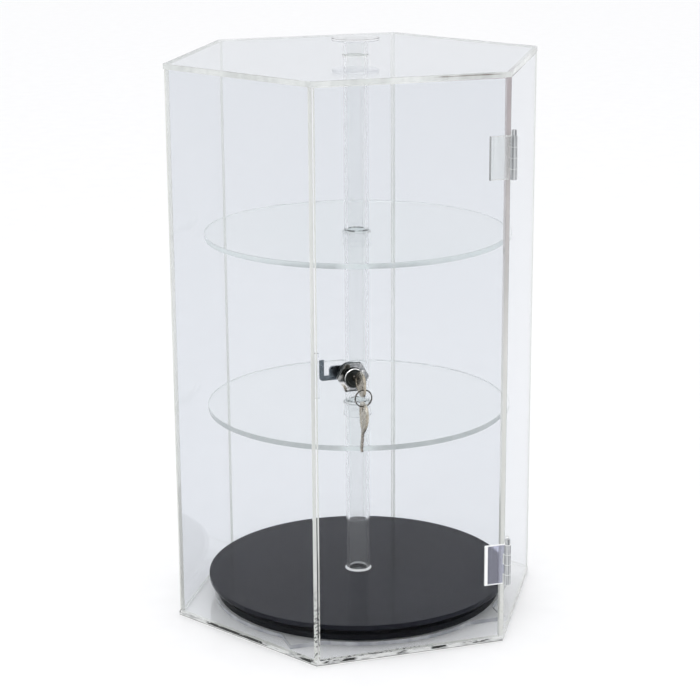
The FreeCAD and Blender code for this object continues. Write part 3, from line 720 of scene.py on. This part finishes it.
def smooth_run(points, steps=5):
    """Points along a curve through the given ones (Catmull-Rom)."""
    run = []
    for i in range(len(points) - 1):
        a, b, c, d = (Vector(points[min(max(k, 0), len(points) - 1)])
                      for k in (i - 1, i, i + 1, i + 2))
        for step in range(steps):
            u = step / steps
            run.append(0.5 * (2 * b + (c - a) * u + (2 * a - 5 * b + 4 * c - d) * u * u
                              + (3 * b - a - 3 * c + d) * u ** 3))
    run.append(Vector(points[-1]))
    return run


def key_outline():
    """The key's outline in millimetres along (length, width): bow, shoulder, toothed blade."""
    side = smooth_run(BOW)
    upper = [Vector((p.x, p.y)) for p in side] + [Vector((SHOULDER, BLADE_HALF))]
    for middle, depth in TOOTH_CUTS:
        slope = depth * 0.8
        upper += [Vector((middle - TOOTH_FLAT - slope, BLADE_HALF)),
                  Vector((middle - TOOTH_FLAT, BLADE_HALF - depth)),
                  Vector((middle + TOOTH_FLAT, BLADE_HALF - depth)),
                  Vector((middle + TOOTH_FLAT + slope, BLADE_HALF))]
    upper += [Vector((KEY_LENGTH - TIP, BLADE_HALF)), Vector((KEY_LENGTH, 0.3))]
    lower = [Vector((KEY_LENGTH - TIP, -BLADE_HALF)), Vector((SHOULDER, -BLADE_HALF))]
    lower += [Vector((p.x, -p.y)) for p in reversed(side)]
    return upper + lower


def plate_between(bm, loops, half_thick):
    """A flat plate across local X, bounded by the first loop, with the other loops as holes."""
    edges = []
    for loop in loops:
        verts = [bm.verts.new((-half_thick, p.x, p.y)) for p in loop]
        edges += [bm.edges.new((verts[i - 1], verts[i])) for i in range(len(verts))]
    filled = bmesh.ops.triangle_fill(bm, use_beauty=True, use_dissolve=False, edges=edges)
    faces = [g for g in filled["geom"] if isinstance(g, bmesh.types.BMFace)]
    grown = bmesh.ops.extrude_face_region(bm, geom=faces, use_keep_orig=True)
    for g in grown["geom"]:
        if isinstance(g, bmesh.types.BMVert):
            g.co.x += 2 * half_thick


def circle(x, y, radius, steps=24):
    """Points round a circle."""
    return [Vector((x + radius * math.cos(math.tau * i / steps),
                    y + radius * math.sin(math.tau * i / steps))) for i in range(steps)]


def key_mesh():
    """A key in metres: a toothed blank with a raised border round the bow."""
    hole = circle(HOLE_INSET, -HOLE_OFFSET, HOLE_RADIUS)
    bm = bmesh.new()
    plate_between(bm, [key_outline(), hole], KEY_THICK / 2)
    bow = smooth_run(BOW)
    border = [Vector((p.x * 0.92 + 0.9, p.y - 0.9)) for p in bow]
    border += [Vector((p.x, -p.y)) for p in reversed(border)]
    inside = [Vector(((p.x - 11.5) * 0.84 + 11.5, p.y * 0.76)) for p in border]
    rim = bmesh.new()
    plate_between(rim, [border, inside], KEY_THICK / 2 + RIM_PROUD)
    for part in (bm, rim):
        bmesh.ops.recalc_face_normals(part, faces=part.faces)
        bmesh.ops.dissolve_limit(part, angle_limit=SAME_PLANE, verts=part.verts,
                                 edges=part.edges)
        round_off(part, 0.14, least=50.0)
    rim_mesh = bpy.data.meshes.new("bow_border")
    rim.to_mesh(rim_mesh)
    rim.free()
    bm.from_mesh(rim_mesh)
    bpy.data.meshes.remove(rim_mesh)
    for face in bm.faces:
        face.material_index = 1 if face.calc_center_median().y > BLADE_START else 0
    bmesh.ops.scale(bm, vec=(MM, MM, MM), verts=bm.verts)
    return bm


def key_piece(node, hole_place, turn):
    """A key whose bow hole sits at a place, turned as it hangs."""
    bm = key_mesh()
    local_hole = Vector((0, HOLE_INSET * MM, -HOLE_OFFSET * MM))
    moved = Matrix.Translation(hole_place) @ turn @ Matrix.Translation(-local_hole)
    bmesh.ops.transform(bm, matrix=moved, verts=bm.verts)
    return piece(bm, node + "_shown", node)


def split_ring_piece(node):
    """Two turns of springy wire lying side by side, with a step where one turn ends."""
    low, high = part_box(node)
    centre = (low + high) / 2
    radius = (high.x - low.x) / 2 - WIRE_INSET
    steps, around, turns = 200, 12, 2.0
    bm = bmesh.new()
    rings = []
    for step in range(steps + 1):
        along = step / steps
        angle = math.tau * turns * along + 0.6
        lay = (2 * min(max((along - 0.44) / 0.10, 0.0), 1.0) - 1) * WIRE_HALF
        outward = Vector((math.cos(angle), 0, math.sin(angle)))
        middle = centre + outward * radius + Vector((0, lay, 0))
        taper = 0.55 if step in (0, steps) else 1.0
        ring = []
        for k in range(around):
            phase = math.tau * k / around
            ring.append(bm.verts.new(
                middle + outward * math.cos(phase) * WIRE_HALF * 1.35 * taper
                + Vector((0, 1, 0)) * math.sin(phase) * WIRE_HALF * taper))
        rings.append(ring)
    for a, b in zip(rings, rings[1:]):
        for k in range(around):
            m = (k + 1) % around
            bm.faces.new((a[k], a[m], b[m], b[k]))
    bm.faces.new(rings[0])
    bm.faces.new(rings[-1])
    bmesh.ops.recalc_face_normals(bm, faces=bm.faces)
    return piece(bm, node + "_shown", node)


ring_low, ring_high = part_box("key_ring")
ring_middle = (ring_low + ring_high) / 2
top_wire = Vector((ring_middle.x, ring_middle.y, ring_high.z - WIRE_INSET))
bottom_wire = Vector((ring_middle.x, ring_middle.y, ring_low.z + WIRE_INSET))
key_piece("lock_key", top_wire + Vector((0, 0, KEY_HANG)), Matrix.Identity(4))
hanging = Matrix.Rotation(math.pi, 4, "Z") @ Matrix.Rotation(-math.pi / 2 - SPARE_LEAN, 4, "X")
key_piece("spare_key", bottom_wire - Vector((0, 0, KEY_HANG)), hanging)
split_ring_piece("key_ring")


# ---- stage ----------------------------------------------------------------------------------

FLOOR_HALF = 15.0
FLOOR_DROP = 0.4 * MM
BACKDROP = (0.985, 0.985, 0.99, 1)
# The tent's colours by height, from the horizon up.
TENT = ((0.0, (0.86, 0.87, 0.885, 1)), (0.3, (0.91, 0.915, 0.92, 1)), (0.8, (1.0, 1.0, 1.0, 1)))


def make_floor():
    """A wide pale floor, just under the case."""
    bm = bmesh.new()
    bmesh.ops.create_grid(bm, x_segments=8, y_segments=8, size=FLOOR_HALF)
    mesh = bpy.data.meshes.new("floor")
    bm.to_mesh(mesh)
    bm.free()
    t = Tree("floor_paper")
    grain = t.noise(30.0, 4.0)
    colour = t.ramp(grain, (0.3, (0.86, 0.86, 0.87)), (0.7, (0.88, 0.88, 0.89)))
    mesh.materials.append(t.done(t.principled(Base_Color=colour, Roughness=0.9)))
    floor = bpy.data.objects.new("floor", mesh)
    floor.location.z = -FLOOR_DROP
    bpy.context.scene.collection.objects.link(floor)


def make_world():
    """A light tent: bright all round, a little brighter overhead. Seen directly or through clear
    plastic, it is as pale as the floor, so no horizon shows."""
    world = bpy.data.worlds.new("studio")
    world.use_nodes = True
    nt = world.node_tree
    nt.nodes.clear()
    out = nt.nodes.new("ShaderNodeOutputWorld")
    back = nt.nodes.new("ShaderNodeBackground")
    coords = nt.nodes.new("ShaderNodeTexCoord")
    split = nt.nodes.new("ShaderNodeSeparateXYZ")
    ramp = nt.nodes.new("ShaderNodeValToRGB")
    nt.links.new(coords.outputs["Generated"], split.inputs[0])
    nt.links.new(split.outputs["Z"], ramp.inputs["Fac"])
    nt.links.new(ramp.outputs["Color"], back.inputs["Color"])
    path = nt.nodes.new("ShaderNodeLightPath")
    plain = nt.nodes.new("ShaderNodeBackground")
    plain.inputs["Color"].default_value = BACKDROP
    direct = nt.nodes.new("ShaderNodeMath")
    direct.operation = "MAXIMUM"
    nt.links.new(path.outputs["Is Camera Ray"], direct.inputs[0])
    nt.links.new(path.outputs["Is Transmission Ray"], direct.inputs[1])
    mix = nt.nodes.new("ShaderNodeMixShader")
    nt.links.new(direct.outputs[0], mix.inputs[0])
    nt.links.new(back.outputs[0], mix.inputs[1])
    nt.links.new(plain.outputs[0], mix.inputs[2])
    nt.links.new(mix.outputs[0], out.inputs["Surface"])
    stops = ramp.color_ramp.elements
    stops.new(0.5)
    for stop, (height, colour) in zip(stops, TENT):
        stop.position, stop.color = height, colour
    back.inputs["Strength"].default_value = 1.0
    bpy.context.scene.world = world


def area_light(name, place, target, size, power):
    data = bpy.data.lights.new(name, "AREA")
    data.shape = "RECTANGLE"
    data.size, data.size_y = size
    data.energy = power
    light = bpy.data.objects.new(name, data)
    way = Vector(target) - Vector(place)
    light.matrix_world = (Matrix.Translation(Vector(place))
                          @ way.to_track_quat("-Z", "Y").to_matrix().to_4x4())
    bpy.context.scene.collection.objects.link(light)


make_floor()
make_world()
area_light("key_softbox", (-1.6, -1.8, 2.6), (0, 0, 0.2), (1.6, 1.6), 10)
area_light("fill_softbox", (2.2, -0.8, 2.0), (0, 0, 0.2), (1.2, 1.6), 5)
sun_data = bpy.data.lights.new("sky_panel", "SUN")
sun_data.energy = 0.55
sun_data.angle = math.radians(40)
sun = bpy.data.objects.new("sky_panel", sun_data)
sun.rotation_euler = (math.radians(32), 0, math.radians(-30))
bpy.context.scene.collection.objects.link(sun)

scene = bpy.context.scene
scene.view_settings.view_transform = "Standard"
scene.cycles.max_bounces = 32
scene.cycles.transmission_bounces = 32
scene.cycles.transparent_max_bounces = 48
scene.cycles.glossy_bounces = 8
scene.cycles.diffuse_bounces = 4
